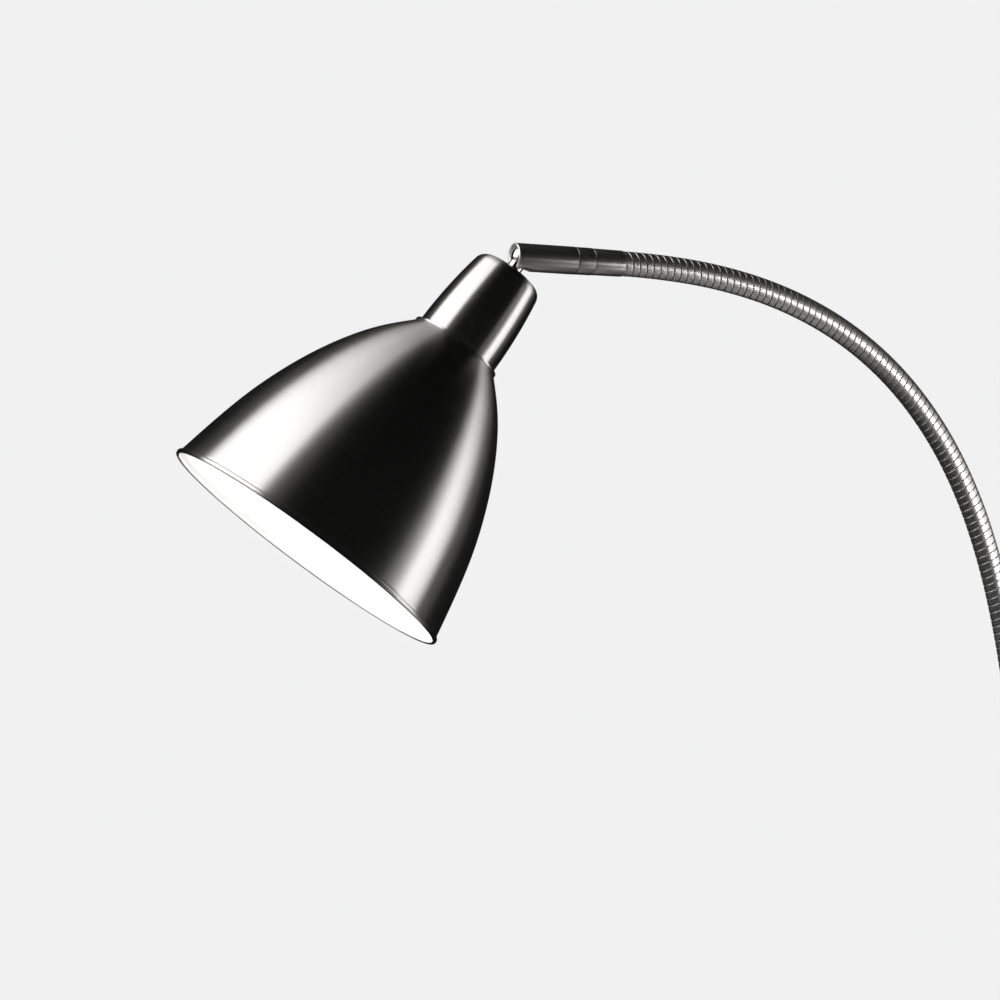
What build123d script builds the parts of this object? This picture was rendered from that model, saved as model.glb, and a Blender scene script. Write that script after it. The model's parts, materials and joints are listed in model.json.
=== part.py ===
from build123d import *

import os
from math import cos, degrees, radians, sin, sqrt

# Gooseneck reading floor lamp.
#
# A round weighted base carries a three-part pole. A ribbed metal gooseneck arches forward from
# the pole top and ends in a swivelling tube. A ball joint in the tube's slotted end carries a
# bell-shaped metal shade with its lampholder and bulb.
#
# Frame: millimetres, +Z up, origin at the centre of the base's underside. The neck lies in the
# XZ plane and reaches towards -X.

os.makedirs("parts", exist_ok=True)

# ---------------------------------------------------------------- clearances
thread_clearance = 0.02  # radial, between a screwed stud and what it screws into
spigot_clearance = 0.05  # radial, on each spigot
running_clearance = 0.06  # where the tube turns on its stud
ball_clearance = 0.05  # between the ball and its cups
nose_clearance = 0.3  # between a neck nose and the bore that it nests in
slot_clearance = 0.4  # each side of the stem
holder_clearance = 0.4  # between the lampholder and the bell's neck hole
fit_gap = 0.1  # between the lampholder, its shell and the bulb's cap

# ---------------------------------------------------------------- base
base_d = 240.0  # across the spun cover
base_h = 20.0  # floor to the top of the cover
cover_wall = 1.2
cover_edge_r = 6.0  # rounding of the cover's shoulder
pad_t = 2.0  # foam pad under the base
pad_inset = 0.6  # pad edge inside the cover's edge
weight_gap = 0.6  # all round, between the iron disc and the cover
stud_r = 5.0
stud_wall = 1.8
stud_gap = 0.3  # round the stud where it passes a plain hole
base_washer_rim = 11.0  # width of the washer's ring
base_washer_t = 2.0
base_nut_flats = 17.0
base_nut_t = 6.0
recess_rim = 8.0  # room round the washer, under the iron disc

# ---------------------------------------------------------------- cable inlet at the rear
gland_z = 9.0
gland_bore_r = 3.2
gland_wall = 1.4
gland_lip = 2.4
gland_flange_t = 2.0
gland_depth = 9.0
channel_gap = 0.6  # between the inlet and the iron disc's cable channel

# ---------------------------------------------------------------- pole
pole_r = 8.0
pole_wall = 1.2
pole_top_z = 970.0
connector_bead_t = 1.5  # bead of each connector that shows between two pole parts
spigot_len = 16.0
wire_r = 3.2  # cable passage
collar_w = 5.0  # width of the foot collar's ring
collar_h = 9.0
collar_chamfer = 2.0
foot_insert_len = 25.0
socket_len = 30.0  # neck socket, from the pole's top to the gooseneck
socket_taper_len = 12.0
socket_lip = 0.8  # socket wider than the gooseneck at its mouth
socket_screw_r = 1.5
socket_screw_len = 2.5

# ---------------------------------------------------------------- gooseneck
hose_r = 6.5  # over the ribs
groove_depth = 0.6
hose_wall = 1.3  # crest of a rib to the bore
link_len = 40.0
ribs_per_link = 10
groove_floor = 1.0
groove_mouth = 1.2
joint_gap = 1.2  # groove where one length turns on the next
joint_mouth = 1.5
web_t = 3.0  # end wall that carries each nose
nose_reach = 3.2  # nose tip beyond the joint's centre
nose_root = 1.3  # nose root behind the joint's centre
neck_spigot_len = 6.0
# Degrees that each length is bent, from the pole to the head.
neck_bends = [2.8, 3.3, 3.9, 4.6, 6.3, 9.2, 11.2, 12.1, 11.7, 10.0, 7.7, 5.3]

# ---------------------------------------------------------------- swivel and slotted ball joint
ferrule_len = 17.5
ferrule_lip = 0.3  # ferrule wider than the gooseneck where they meet
ring_len = 9.6
ring_lip = 0.6
swivel_gap = 0.2
swivel_stud_r = 4.0
swivel_stud_bore_r = 2.5
swivel_grip = 7.0  # length of stud screwed into the ferrule
swivel_head_rim = 1.6
swivel_head_t = 2.5
swivel_washer_t = 0.9
ball_r = 6.0
ball_wall = 0.3  # ball to the tube's bore
tube_wall = 0.9
tube_len = 34.0
tube_end_wall = 3.0
ball_inset = 5.0  # ball's centre behind the tube's open end
lip_hold = 0.65  # how far the rolled lip reaches in over the ball
lip_rounding = 0.65
seat_gap = 0.1  # seat to the tube's bore
seat_bore_r = 3.0
seat_len = 9.8
spring_count = 4
spring_t = 0.6
spring_rise = 1.4
spring_gap = 0.4  # spring washers to the tube's bore

# ---------------------------------------------------------------- stem and shade
# All stations along the shade are measured from the ball's centre.
stem_r = 4.0
stem_bore_r = 2.3
stem_grip = 8.0  # length of stem screwed into the lampholder
shoulder_lip = 2.2
shoulder_t = 1.6
stem_tilt = 55.0  # degrees from the tube's axis to the stem
slot_turn = 7.0  # degrees that the slot is turned from straight down towards +Y
cap_top = 10.0
cap_top_r = 13.5  # flat top, out to the shoulder
cap_shoulder_r = 5.7
cap_shoulder_turn = 80.0  # degrees that the shoulder turns
cap_side_pull = 14.0  # how long the side keeps the shoulder's slope
cap_skirt_pull = 14.0  # how long the side runs straight above the seam
cap_wall = 1.0
seam = 57.8  # where the cap meets the bell
cap_step = 1.5  # cap's edge inside the bell's neck
stem_washer_rim = 4.0
stem_washer_t = 1.0
stem_nut_flats = 13.0
stem_nut_t = 4.5
bell_neck_r = 24.3
# The bell's flared side: radius, and share of the way from its neck to the rim.
bell_sides = [(38.0, 0.12), (47.3, 0.227), (55.7, 0.349), (63.2, 0.486), (69.7, 0.638), (75.3, 0.82)]
bell_wall = 1.0
bell_bead = 0.6  # bead at the neck, proud of the bell
bell_bead_t = 1.2
rim_r = 79.8
rim = 185.6
hem_w = 2.0
hem_h = 2.6

# ---------------------------------------------------------------- lampholder and bulb
bulb_cap_r = 13.1
bulb_cap_wall = 0.4
bulb_cap_len = 21.0
bulb_cap_chamfer = 4.0
bulb_r = 30.0
bulb_len = 102.0  # contact to tip
bulb_flare_side = 50.0  # degrees from the globe's back, where its round starts
glass_wall = 0.8
glass_seat = 6.0  # length of glass inside the cap
bulb_contact_r = 5.0
bulb_contact_t = 2.0
shell_wall = 0.5
shell_len = 18.0
holder_wall = 3.7
holder_gap = 0.5  # stem nut to lampholder
crown_r = 10.0
crown_h = 9.0
crown_collar_h = 5.0
crown_len = 14.0
crown_wall = 2.0
holder_floor_t = 5.0
contact_r = 4.5
contact_t = 2.0
terminal_pitch = 16.0
terminal_head_r = 2.0
terminal_head_h = 3.0
terminal_screw_r = 1.2
shade_ring_rim = 3.6
shade_ring_h = 5.0
shade_ring_notch_r = 0.9
shade_ring_notches = 18

# ---------------------------------------------------------------- sizes worked out from them
stud_bore_r = stud_r - stud_wall
stud_hole_r = stud_r + stud_gap
base_washer_r = stud_hole_r + base_washer_rim
recess_r = base_washer_r + recess_rim
cover_under = base_h - cover_wall
weight_r = base_d / 2 - cover_wall - weight_gap
nut_z = pad_t + 1.0
washer_z = nut_z + base_nut_t
recess_top = washer_z + base_washer_t
gland_barrel_r = gland_bore_r + gland_wall
gland_flange_r = gland_barrel_r + gland_lip
channel_half_w = gland_barrel_r + channel_gap
pole_bore_r = pole_r - pole_wall
pole_part_len = (pole_top_z - base_h - 2 * connector_bead_t) / 3
lower_joint_z = base_h + pole_part_len
upper_joint_z = lower_joint_z + connector_bead_t + pole_part_len
neck_base_z = pole_top_z + socket_len
groove_r = hose_r - groove_depth
bore_r = hose_r - hose_wall
nose_r = bore_r - nose_clearance
neck_spigot_r = bore_r - spigot_clearance * 2
ferrule_r = hose_r + ferrule_lip
ring_r = hose_r + ring_lip
tube_bore_r = ball_r + ball_wall
tube_r = tube_bore_r + tube_wall
swivel_bore_r = swivel_stud_r + running_clearance
swivel_head_r = swivel_stud_r + swivel_head_rim
cup_r = ball_r + ball_clearance
lip_bore_r = ball_r - lip_hold
slot_half_w = stem_r + slot_clearance
seat_r = tube_bore_r - seat_gap
spring_r = tube_bore_r - spring_gap
tube_start = ferrule_len + ring_len + swivel_gap
tube_floor = tube_start + tube_end_wall
tube_end = tube_start + tube_len
ball_at = tube_end - ball_inset
stem_washer_at = cap_top + cap_wall
stem_nut_at = stem_washer_at + stem_washer_t
holder_top = stem_nut_at + stem_nut_t + holder_gap
stem_end = holder_top + stem_grip
holder_split = holder_top + crown_len
holder_floor = holder_split + holder_floor_t
bell_under = seam + bell_bead_t
bell_points = [(radius, bell_under + share * (rim - bell_under)) for radius, share in bell_sides]
holder_end = bell_under + shade_ring_h + 1.0
shell_r = bulb_cap_r + fit_gap + shell_wall
holder_bore_r = shell_r + fit_gap
holder_r = holder_bore_r + holder_wall
bulb_start = holder_floor + contact_t
bulb_cap_start = bulb_start + bulb_contact_t
bulb_cap_end = bulb_cap_start + bulb_cap_len
bulb_centre = bulb_start + bulb_len - bulb_r
bulb_neck_r = bulb_cap_r - bulb_cap_wall - fit_gap


def turning_plane(origin, across, along):
    """Sketch plane of a turned piece: X is the radius and Y runs along the axis."""
    return Plane(origin=origin, x_dir=across, z_dir=across.cross(along))


def along_bend(start, lean, bend, distance):
    """Point and lean from upright at a distance along one bent length of the neck."""
    bend_r = link_len / radians(bend)
    turned = distance / bend_r
    ahead = Vector(-sin(radians(lean)), 0, cos(radians(lean)))
    inward = Vector(-cos(radians(lean)), 0, -sin(radians(lean)))
    point = start + ahead * (bend_r * sin(turned)) + inward * (bend_r * (1 - cos(turned)))
    return point, lean + degrees(turned)


def square_to_neck(point, lean):
    """Plane square to the neck, with its X axis kept on +Y."""
    ahead = Vector(-sin(radians(lean)), 0, cos(radians(lean)))
    return Plane(origin=point, x_dir=(0, 1, 0), z_dir=ahead)


def inset(curve, wall, steps=10):
    """Points a wall's thickness inside a turned outline that runs from its narrow end."""
    points = []
    for step in range(steps + 1):
        way = curve % (step / steps)
        points.append(curve @ (step / steps) + Vector(-way.Y, way.X) * wall)
    return points


def round_point(radius, centre, side):
    """Point of a globe's outline, the given degrees round from its back."""
    return radius * sin(radians(side)), centre - radius * cos(radians(side))


def write(piece, label):
    """Name a finished piece and write its file."""
    piece.part.label = label
    export_step(piece.part, f"parts/{label}.step")


# Where each length of the neck starts: a point and the lean from upright.
neck_starts = [(Vector(0, 0, neck_base_z), 0.0)]
for bend in neck_bends:
    neck_starts.append(along_bend(*neck_starts[-1], bend, link_len))
neck_end, neck_end_lean = neck_starts[-1]

# The tube's axis, the way that its slot faces, and the stem's axis as the lamp stands.
tube_way = square_to_neck(neck_end, neck_end_lean).z_dir
slot_down = Vector(-cos(radians(neck_end_lean)), 0, -sin(radians(neck_end_lean)))
slot_way = slot_down * cos(radians(slot_turn)) + Vector(0, 1, 0) * sin(radians(slot_turn))
hinge_way = tube_way.cross(slot_way)
stem_way = tube_way * cos(radians(stem_tilt)) + slot_way * sin(radians(stem_tilt))
ball_centre = neck_end + tube_way * ball_at
across_tube = Plane(origin=neck_end, x_dir=hinge_way, z_dir=tube_way)
across_shade = Plane(origin=ball_centre, x_dir=hinge_way, z_dir=stem_way)
tube_plane = turning_plane(neck_end, hinge_way, tube_way)
tube_axis = Axis(neck_end, tube_way)
shade_plane = turning_plane(ball_centre, hinge_way, stem_way)
shade_axis = Axis(ball_centre, stem_way)

# ================================================================ base
with BuildPart() as base_pad:
    with BuildSketch():
        Circle(base_d / 2 - pad_inset)
        Circle(recess_r, mode=Mode.SUBTRACT)
    extrude(amount=pad_t)
write(base_pad, "base_pad")

with BuildPart() as base_cover:
    with BuildSketch(Plane.XY.offset(pad_t)):
        Circle(base_d / 2)
    extrude(amount=base_h - pad_t)
    fillet(base_cover.edges().sort_by(Axis.Z)[-1], cover_edge_r)
    offset(amount=-cover_wall, openings=base_cover.faces().sort_by(Axis.Z)[0])
    with BuildSketch(Plane.XY.offset(cover_under)):
        Circle(stud_hole_r)
    extrude(amount=cover_wall, mode=Mode.SUBTRACT)
    with BuildSketch(Plane.YZ.offset(base_d / 2)):
        with Locations((0, gland_z)):
            Circle(gland_barrel_r)
    extrude(amount=-gland_depth, mode=Mode.SUBTRACT)
write(base_cover, "base_cover")

with BuildPart() as base_weight:
    with BuildSketch(Plane.XY.offset(pad_t)):
        Circle(weight_r)
    extrude(amount=cover_under - pad_t)
    chamfer(base_weight.edges().sort_by(Axis.Z)[-1], cover_edge_r)
    with BuildSketch(Plane.XY.offset(pad_t)):
        Circle(recess_r)
    extrude(amount=recess_top - pad_t, mode=Mode.SUBTRACT)
    with BuildSketch(Plane.XY.offset(pad_t)):
        with Locations((base_d / 4, 0)):
            Rectangle(base_d / 2, 2 * channel_half_w)
    extrude(amount=gland_z + channel_half_w - pad_t, mode=Mode.SUBTRACT)
    with BuildSketch(Plane.XY.offset(recess_top)):
        Circle(stud_hole_r)
    extrude(amount=cover_under - recess_top, mode=Mode.SUBTRACT)
write(base_weight, "base_weight")

with BuildPart() as base_washer:
    with BuildSketch(Plane.XY.offset(washer_z)):
        Circle(base_washer_r)
        Circle(stud_hole_r, mode=Mode.SUBTRACT)
    extrude(amount=base_washer_t)
write(base_washer, "base_washer")

with BuildPart() as base_nut:
    with BuildSketch(Plane.XY.offset(nut_z)):
        RegularPolygon(base_nut_flats / 2, 6, major_radius=False)
        Circle(stud_r + thread_clearance, mode=Mode.SUBTRACT)
    extrude(amount=base_nut_t)
write(base_nut, "base_nut")

with BuildPart() as base_stud:
    with BuildSketch(Plane.XY.offset(nut_z)):
        Circle(stud_r)
        Circle(stud_bore_r, mode=Mode.SUBTRACT)
    extrude(amount=base_h + foot_insert_len - nut_z)
write(base_stud, "base_stud")

with BuildPart() as cord_gland:
    with BuildSketch(Plane.YZ.offset(base_d / 2)):
        with Locations((0, gland_z)):
            Circle(gland_flange_r)
            Circle(gland_bore_r, mode=Mode.SUBTRACT)
    extrude(amount=gland_flange_t)
    fillet(cord_gland.edges().group_by(Axis.X)[-1], gland_flange_t / 4)
    with BuildSketch(Plane.YZ.offset(base_d / 2)):
        with Locations((0, gland_z)):
            Circle(gland_barrel_r)
            Circle(gland_bore_r, mode=Mode.SUBTRACT)
    extrude(amount=-gland_depth)
write(cord_gland, "cord_gland")

# ================================================================ pole
with BuildPart() as pole_collar:
    with BuildSketch(Plane.XY.offset(base_h)):
        Circle(pole_r + collar_w)
    extrude(amount=collar_h)
    chamfer(pole_collar.edges().sort_by(Axis.Z)[-1], collar_chamfer)
    with BuildSketch(Plane.XY.offset(base_h)):
        Circle(pole_r + spigot_clearance)
    extrude(amount=collar_h, mode=Mode.SUBTRACT)
write(pole_collar, "pole_collar")

with BuildPart() as pole_foot_insert:
    with BuildSketch(Plane.XY.offset(base_h)):
        Circle(pole_bore_r - spigot_clearance)
        Circle(stud_r + thread_clearance, mode=Mode.SUBTRACT)
    extrude(amount=foot_insert_len)
write(pole_foot_insert, "pole_foot_insert")

pole_parts = {
    "pole_lower": base_h,
    "pole_middle": lower_joint_z + connector_bead_t,
    "pole_upper": upper_joint_z + connector_bead_t,
}
for label, bottom in pole_parts.items():
    with BuildPart() as pole_part:
        with BuildSketch(Plane.XY.offset(bottom)):
            Circle(pole_r)
            Circle(pole_bore_r, mode=Mode.SUBTRACT)
        extrude(amount=pole_part_len)
    write(pole_part, label)

connectors = {"connector_lower": lower_joint_z, "connector_upper": upper_joint_z}
for label, bead in connectors.items():
    with BuildPart() as connector:
        with BuildSketch(Plane.XY.offset(bead - spigot_len)):
            Circle(pole_bore_r - spigot_clearance)
        extrude(amount=2 * spigot_len + connector_bead_t)
        with BuildSketch(Plane.XY.offset(bead)):
            Circle(pole_r)
        extrude(amount=connector_bead_t)
        with BuildSketch(Plane.XY.offset(bead - spigot_len)):
            Circle(wire_r)
        extrude(amount=2 * spigot_len + connector_bead_t, mode=Mode.SUBTRACT)
    write(connector, label)

screw_z = pole_top_z + socket_len / 3
with BuildPart() as neck_socket:
    with BuildSketch(Plane.XZ):
        with BuildLine():
            Polyline(
                (wire_r, pole_top_z - spigot_len),
                (pole_bore_r - spigot_clearance, pole_top_z - spigot_len),
                (pole_bore_r - spigot_clearance, pole_top_z),
                (pole_r, pole_top_z),
                (pole_r, neck_base_z - socket_taper_len),
                (hose_r + socket_lip, neck_base_z),
                (neck_spigot_r, neck_base_z),
                (neck_spigot_r, neck_base_z + neck_spigot_len),
                (wire_r, neck_base_z + neck_spigot_len),
                close=True,
            )
        make_face()
    revolve(axis=Axis.Z)
    with BuildSketch(Plane.YZ):
        with Locations((0, screw_z)):
            Circle(socket_screw_r + thread_clearance)
    extrude(amount=pole_r, mode=Mode.SUBTRACT)
write(neck_socket, "neck_socket")

with BuildPart() as socket_screw:
    with BuildSketch(Plane.YZ.offset(pole_r - socket_screw_len)):
        with Locations((0, screw_z)):
            Circle(socket_screw_r)
    extrude(amount=socket_screw_len)
    with BuildSketch(Plane.YZ.offset(pole_r)):
        with Locations((0, screw_z)):
            RegularPolygon(socket_screw_r / 2, 6)
    extrude(amount=-socket_screw_len / 2, mode=Mode.SUBTRACT)
write(socket_screw, "socket_screw")

# ================================================================ gooseneck
rib_pitch = link_len / ribs_per_link
last_link = len(neck_bends) - 1
for number, bend in enumerate(neck_bends):
    start, start_lean = neck_starts[number]
    end, end_lean = neck_starts[number + 1]

    # Ribbed outline: four circles a rib, flush where the neck meets its fixed fittings.
    stations = []
    for rib in range(ribs_per_link):
        floor_before = joint_gap if rib == 0 else groove_floor
        mouth_before = joint_mouth if rib == 0 else groove_mouth
        floor_after = joint_gap if rib == ribs_per_link - 1 else groove_floor
        mouth_after = joint_mouth if rib == ribs_per_link - 1 else groove_mouth
        foot = rib * rib_pitch
        stations.append((foot + floor_before / 2, groove_r))
        stations.append((foot + mouth_before / 2, hose_r))
        stations.append((foot + rib_pitch - mouth_after / 2, hose_r))
        stations.append((foot + rib_pitch - floor_after / 2, groove_r))
    if number == 0:
        stations[0] = (0.0, groove_r)
    if number == last_link:
        stations[-1] = (link_len, groove_r)

    with BuildPart() as neck_link:
        for distance, radius in stations:
            with BuildSketch(square_to_neck(*along_bend(start, start_lean, bend, distance))):
                Circle(radius)
        loft(ruled=True)

        # Bore along the bend, stopping short of the end wall.
        bore_len = link_len if number == last_link else link_len - joint_gap / 2 - web_t
        bore_middle = along_bend(start, start_lean, bend, bore_len / 2)[0]
        bore_finish = along_bend(start, start_lean, bend, bore_len)[0]
        with BuildLine() as bore_path:
            ThreePointArc(start, bore_middle, bore_finish)
        with BuildSketch(square_to_neck(start, start_lean)):
            Circle(bore_r)
        sweep(path=bore_path.line, mode=Mode.SUBTRACT)

        # Round nose on the end wall, centred where the next length turns on this one.
        if number != last_link:
            neck_way = square_to_neck(end, end_lean).z_dir
            with BuildSketch(turning_plane(end, Vector(0, 1, 0), neck_way)):
                with BuildLine():
                    side = ThreePointArc(
                        (sqrt(nose_r**2 - nose_root**2), -nose_root),
                        (nose_r, 0),
                        (sqrt(nose_r**2 - nose_reach**2), nose_reach),
                    )
                    Polyline(side @ 1, (0, nose_reach), (0, -nose_root), side @ 0)
                make_face()
            revolve(axis=Axis(end, neck_way))
            with BuildSketch(square_to_neck(end, end_lean).offset(nose_reach)):
                Circle(wire_r)
            extrude(amount=-(nose_reach + joint_gap / 2 + web_t + 1.0), mode=Mode.SUBTRACT)
    write(neck_link, f"neck_link_{number + 1:02d}")

# ================================================================ ferrule and swivel
with BuildPart() as neck_ferrule:
    with BuildSketch(tube_plane):
        with BuildLine():
            Polyline(
                (wire_r, -neck_spigot_len),
                (neck_spigot_r, -neck_spigot_len),
                (neck_spigot_r, 0),
                (ferrule_r, 0),
                (ring_r - ferrule_lip / 2, ferrule_len),
                (swivel_stud_r + thread_clearance, ferrule_len),
                (swivel_stud_r + thread_clearance, ferrule_len - swivel_grip),
                (wire_r, ferrule_len - swivel_grip),
                close=True,
            )
        make_face()
    revolve(axis=tube_axis)
write(neck_ferrule, "neck_ferrule")

with BuildPart() as swivel_ring:
    with BuildSketch(across_tube.offset(ferrule_len)):
        Circle(ring_r)
        Circle(swivel_stud_r + thread_clearance, mode=Mode.SUBTRACT)
    extrude(amount=ring_len)
write(swivel_ring, "swivel_ring")

stud_head_at = tube_floor + swivel_washer_t + running_clearance
with BuildPart() as swivel_stud:
    with BuildSketch(tube_plane):
        with BuildLine():
            Polyline(
                (swivel_stud_bore_r, ferrule_len - swivel_grip),
                (swivel_stud_r, ferrule_len - swivel_grip),
                (swivel_stud_r, stud_head_at),
                (swivel_head_r, stud_head_at),
                (swivel_head_r, stud_head_at + swivel_head_t),
                (swivel_stud_bore_r, stud_head_at + swivel_head_t),
                close=True,
            )
        make_face()
    revolve(axis=tube_axis)
write(swivel_stud, "swivel_stud")

with BuildPart() as swivel_washer:
    with BuildSketch(across_tube.offset(tube_floor)):
        Circle(spring_r)
        Circle(swivel_bore_r, mode=Mode.SUBTRACT)
    extrude(amount=swivel_washer_t)
write(swivel_washer, "swivel_washer")

# ================================================================ slotted ball joint
# The tube's rolled lip holds the ball in. The slot lets the stem swing from the tube's own
# line down to square with it.
cup_edge_r = (lip_bore_r + tube_bore_r) / 2
cup_middle_r = (lip_bore_r + cup_edge_r) / 2
lip_mouth = tube_r - lip_rounding - lip_bore_r
with BuildPart() as joint_tube:
    with BuildSketch(tube_plane):
        with BuildLine():
            Polyline(
                (cup_edge_r, ball_at + sqrt(cup_r**2 - cup_edge_r**2)),
                (tube_bore_r, ball_at + sqrt(cup_r**2 - cup_edge_r**2)),
                (tube_bore_r, tube_floor),
                (swivel_bore_r, tube_floor),
                (swivel_bore_r, tube_start),
                (tube_r, tube_start),
                (tube_r, tube_end - lip_rounding),
            )
            lip_outside = JernArc((tube_r, tube_end - lip_rounding), (0, 1), lip_rounding, 90)
            lip_inside = JernArc(lip_outside @ 1, (-1, 0), lip_mouth, 90)
            Line(lip_inside @ 1, (lip_bore_r, ball_at + sqrt(cup_r**2 - lip_bore_r**2)))
            ThreePointArc(
                (lip_bore_r, ball_at + sqrt(cup_r**2 - lip_bore_r**2)),
                (cup_middle_r, ball_at + sqrt(cup_r**2 - cup_middle_r**2)),
                (cup_edge_r, ball_at + sqrt(cup_r**2 - cup_edge_r**2)),
            )
        make_face()
    revolve(axis=tube_axis)
    with BuildSketch(Plane(origin=ball_centre, x_dir=tube_way, z_dir=slot_way)):
        Circle(slot_half_w)
        with Locations((ball_inset, 0)):
            Rectangle(2 * ball_inset, 2 * slot_half_w)
    extrude(amount=2 * tube_r, mode=Mode.SUBTRACT)
write(joint_tube, "joint_tube")

seat_front = ball_at - slot_half_w
cup_front_r = sqrt(cup_r**2 - slot_half_w**2)
cup_deep_r = (seat_bore_r + cup_front_r) / 2
with BuildPart() as ball_seat:
    with BuildSketch(tube_plane):
        with BuildLine():
            ThreePointArc(
                (cup_front_r, seat_front),
                (cup_deep_r, ball_at - sqrt(cup_r**2 - cup_deep_r**2)),
                (seat_bore_r, ball_at - sqrt(cup_r**2 - seat_bore_r**2)),
            )
            Polyline(
                (seat_bore_r, ball_at - sqrt(cup_r**2 - seat_bore_r**2)),
                (seat_bore_r, seat_front - seat_len),
                (seat_r, seat_front - seat_len),
                (seat_r, seat_front),
                (cup_front_r, seat_front),
            )
        make_face()
    revolve(axis=tube_axis)
write(ball_seat, "ball_seat")

# Dished spring washers, set face to face and back to back, press the seat on the ball.
with BuildPart() as seat_springs:
    for place in range(spring_count):
        top = seat_front - seat_len - place * (spring_rise + spring_t)
        inner_top = top if place % 2 else top - spring_rise
        outer_top = top - spring_rise if place % 2 else top
        with BuildSketch(tube_plane):
            with BuildLine():
                Polyline(
                    (seat_bore_r, inner_top),
                    (spring_r, outer_top),
                    (spring_r, outer_top - spring_t),
                    (seat_bore_r, inner_top - spring_t),
                    close=True,
                )
            make_face()
        revolve(axis=tube_axis)
write(seat_springs, "seat_springs")

ball_back = -sqrt(ball_r**2 - stem_bore_r**2)
ball_front = sqrt(ball_r**2 - stem_r**2)
with BuildPart() as ball_stem:
    with BuildSketch(shade_plane):
        with BuildLine():
            ThreePointArc((stem_bore_r, ball_back), (ball_r, 0), (stem_r, ball_front))
            Polyline(
                (stem_r, ball_front),
                (stem_r, cap_top - shoulder_t),
                (stem_r + shoulder_lip, cap_top - shoulder_t),
                (stem_r + shoulder_lip, cap_top),
                (stem_r, cap_top),
                (stem_r, stem_end),
                (stem_bore_r, stem_end),
                (stem_bore_r, ball_back),
            )
        make_face()
    revolve(axis=shade_axis)
write(ball_stem, "ball_stem")

# ================================================================ shade
cap_edge_r = bell_neck_r - cap_step
with BuildPart() as shade_cap:
    with BuildSketch(shade_plane):
        with BuildLine():
            shoulder = JernArc((cap_top_r, cap_top), (1, 0), cap_shoulder_r, cap_shoulder_turn)
            side = Bezier(
                shoulder @ 1,
                shoulder @ 1 + (shoulder % 1) * cap_side_pull,
                (cap_edge_r, seam - cap_skirt_pull),
                (cap_edge_r, seam),
            )
            inner_shoulder = JernArc(
                (cap_top_r, cap_top + cap_wall),
                (1, 0),
                cap_shoulder_r - cap_wall,
                cap_shoulder_turn,
            )
            lining = Spline(inner_shoulder @ 1, *inset(side, cap_wall)[1:])
            Line(side @ 1, lining @ 1)
            Polyline(
                inner_shoulder @ 0,
                (stem_r + thread_clearance, cap_top + cap_wall),
                (stem_r + thread_clearance, cap_top),
                shoulder @ 0,
            )
        make_face()
    revolve(axis=shade_axis)
write(shade_cap, "shade_cap")

with BuildPart() as stem_washer:
    with BuildSketch(across_shade.offset(stem_washer_at)):
        Circle(stem_r + stem_washer_rim)
        Circle(stem_r + thread_clearance, mode=Mode.SUBTRACT)
    extrude(amount=stem_washer_t)
write(stem_washer, "stem_washer")

with BuildPart() as stem_nut:
    with BuildSketch(across_shade.offset(stem_nut_at)):
        RegularPolygon(stem_nut_flats / 2, 6, major_radius=False)
        Circle(stem_r + thread_clearance, mode=Mode.SUBTRACT)
    extrude(amount=stem_nut_t)
write(stem_nut, "stem_nut")

# Spun bell: beaded neck with a flange turned in, flared side, rolled hem.
with BuildPart() as shade_bell:
    with BuildSketch(shade_plane):
        with BuildLine():
            side = Spline((bell_neck_r, bell_under), *bell_points, (rim_r, rim))
            lining = Spline(*inset(side, bell_wall))
            Line(side @ 1, lining @ 1)
            Polyline(
                lining @ 0,
                ((lining @ 0).X, bell_under),
                (holder_r + holder_clearance, bell_under),
                (holder_r + holder_clearance, seam),
                (bell_neck_r + bell_bead, seam),
                (bell_neck_r + bell_bead, bell_under),
                side @ 0,
            )
        make_face()
        with Locations((rim_r, rim)):
            RectangleRounded(hem_w, hem_h, hem_w * 0.49)
    revolve(axis=shade_axis)
write(shade_bell, "shade_bell")

# ================================================================ lampholder
with BuildPart() as holder_crown:
    with BuildSketch(shade_plane):
        with BuildLine():
            Polyline(
                (stem_r + thread_clearance, holder_top),
                (crown_r, holder_top),
                (crown_r, holder_top + crown_collar_h),
                (holder_r, holder_top + crown_h),
                (holder_r, holder_split),
                (holder_r - crown_wall, holder_split),
                (holder_r - crown_wall, holder_top + crown_h + crown_wall / 2),
                (crown_r - crown_wall, holder_top + stem_grip),
                (stem_r + thread_clearance, holder_top + stem_grip),
                close=True,
            )
        make_face()
    revolve(axis=shade_axis)
write(holder_crown, "holder_crown")

with BuildPart() as holder_body:
    with BuildSketch(across_shade.offset(holder_split)):
        Circle(holder_r)
    extrude(amount=holder_end - holder_split)
    with BuildSketch(across_shade.offset(holder_floor)):
        Circle(holder_bore_r)
    extrude(amount=holder_end - holder_floor, mode=Mode.SUBTRACT)
    with BuildSketch(across_shade.offset(holder_split)):
        with GridLocations(terminal_pitch, 0, 2, 1):
            Circle(terminal_screw_r + thread_clearance)
    extrude(amount=holder_floor_t, mode=Mode.SUBTRACT)
write(holder_body, "holder_body")

with BuildPart() as terminal_screws:
    with BuildSketch(across_shade.offset(holder_split - terminal_head_h)):
        with GridLocations(terminal_pitch, 0, 2, 1):
            Circle(terminal_head_r)
    extrude(amount=terminal_head_h)
    with BuildSketch(across_shade.offset(holder_split)):
        with GridLocations(terminal_pitch, 0, 2, 1):
            Circle(terminal_screw_r)
    extrude(amount=holder_floor_t)
write(terminal_screws, "terminal_screws")

with BuildPart() as holder_shell:
    with BuildSketch(across_shade.offset(holder_floor)):
        Circle(shell_r)
        Circle(shell_r - shell_wall, mode=Mode.SUBTRACT)
    extrude(amount=shell_len)
write(holder_shell, "holder_shell")

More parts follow.
